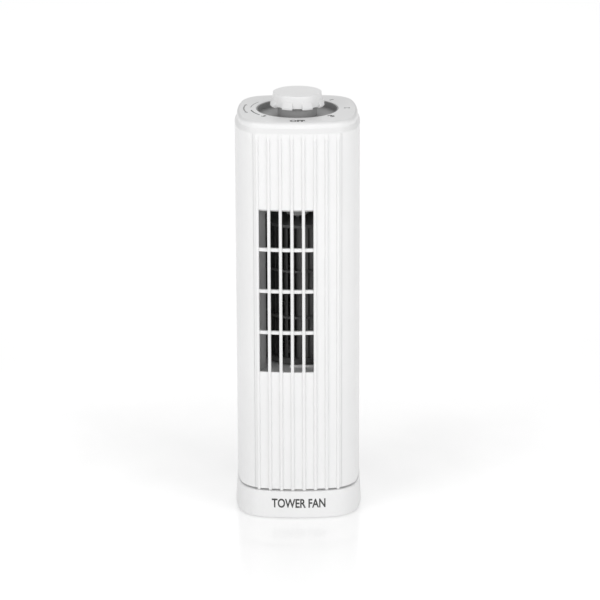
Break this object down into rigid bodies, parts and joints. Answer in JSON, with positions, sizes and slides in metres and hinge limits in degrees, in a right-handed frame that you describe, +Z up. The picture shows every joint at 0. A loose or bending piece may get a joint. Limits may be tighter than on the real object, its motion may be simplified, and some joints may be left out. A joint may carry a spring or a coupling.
{
  "type": "mini tower fan",
  "caption": "White mini tower fan with a ribbed front, a rotary speed switch on top and an oscillating base.",
  "frame": {"origin": "on the floor plane at the centre of the base, on the axis the tower turns about", "axes": "+Z up along the tower, -Y out of the air outlet, +X to the right seen from the front"},
  "size_m": [0.106, 0.106, 0.355],
  "materials": {
    "shell_plastic": "smooth white",
    "grille_plastic": "smooth white",
    "cap_plastic": "smooth white",
    "knob_plastic": "smooth white",
    "rail_plastic": "smooth white",
    "pan_plastic": "fine texture, white",
    "foot_rubber": "matt black",
    "gland_rubber": "matt white",
    "mount_rubber": "matt black",
    "screw_steel": "zinc plated",
    "spring_steel": "spring steel",
    "shaft_steel": "ground",
    "nylon": "natural nylon",
    "motor_can": "zinc plated",
    "terminal_plastic": "natural nylon",
    "well_plastic": "fine texture, grey",
    "duct_plastic": "fine texture, grey",
    "switch_plastic": "black phenolic",
    "impeller_plastic": "black",
    "hub_plastic": "grey",
    "bronze": "sintered bronze",
    "lamination_steel": "stacked laminations",
    "rotor_metal": "squirrel cage over laminations",
    "bracket_steel": "zinc plated",
    "coil_wrap": "yellow tape",
    "lead_insulation": "white insulation"
  },
  "bodies": {
    "base": {"base_cover": "shell_plastic", "base_pan": "pan_plastic", "rubber_feet": "foot_rubber", "base_screws": "screw_steel", "cord_gland": "gland_rubber", "glide_ring": "nylon", "pivot_clip": "spring_steel"},
    "tower": {"tower_floor": "shell_plastic", "crank_motor": "motor_can", "crank_motor_screws": "screw_steel", "terminal_block": "terminal_plastic", "body_shell": "shell_plastic", "shell_screws": "screw_steel", "front_grille": "grille_plastic", "rear_grille": "grille_plastic", "top_cap": "cap_plastic", "dial_well": "well_plastic", "switch_body": "switch_plastic", "switch_nut": "screw_steel", "duct_floor": "duct_plastic", "duct_ceiling": "duct_plastic", "scroll_wall": "duct_plastic", "tongue_wall": "duct_plastic", "floor_rail": "rail_plastic", "duct_screws": "screw_steel", "bush_mount": "mount_rubber", "upper_bush": "bronze", "motor_stator": "lamination_steel", "motor_coil": "coil_wrap", "motor_bracket_top": "bracket_steel", "motor_bracket_bottom": "bracket_steel", "motor_bushes": "bronze", "motor_screws": "screw_steel", "switch_leads": "lead_insulation", "motor_leads": "lead_insulation", "crank_leads": "lead_insulation"},
    "wheel": {"impeller": "impeller_plastic", "impeller_hub": "hub_plastic", "drive_shaft": "shaft_steel", "top_stub": "shaft_steel", "motor_rotor": "rotor_metal"},
    "knob": {"knob": "knob_plastic", "switch_spindle": "shaft_steel"},
    "crank": {"crank_arm": "nylon", "crank_pin": "shaft_steel", "crank_shaft": "shaft_steel"}
  },
  "joints": [
    {"name": "tower_turn", "type": "hinge", "parent": "base", "child": "tower", "pos_m": [0, 0, 0.026], "axis": [0, 0, 1], "range_deg": [-30, 30]},
    {"name": "wheel_spin", "type": "hinge", "parent": "tower", "child": "wheel", "pos_m": [0, 0, 0.128], "axis": [0, 0, 1], "continuous": true},
    {"name": "knob_turn", "type": "hinge", "parent": "tower", "child": "knob", "pos_m": [0, 0, 0.345], "axis": [0, 0, 1], "range_deg": [-135, 135]},
    {"name": "crank_turn", "type": "hinge", "parent": "tower", "child": "crank", "pos_m": [0, 0.027, 0.033], "axis": [0, 0, 1], "range_deg": [-120, 120]}
  ],
  "couplings": [
    {"joint": "crank_turn", "follows": "tower_turn", "ratio": -4}
  ]
}
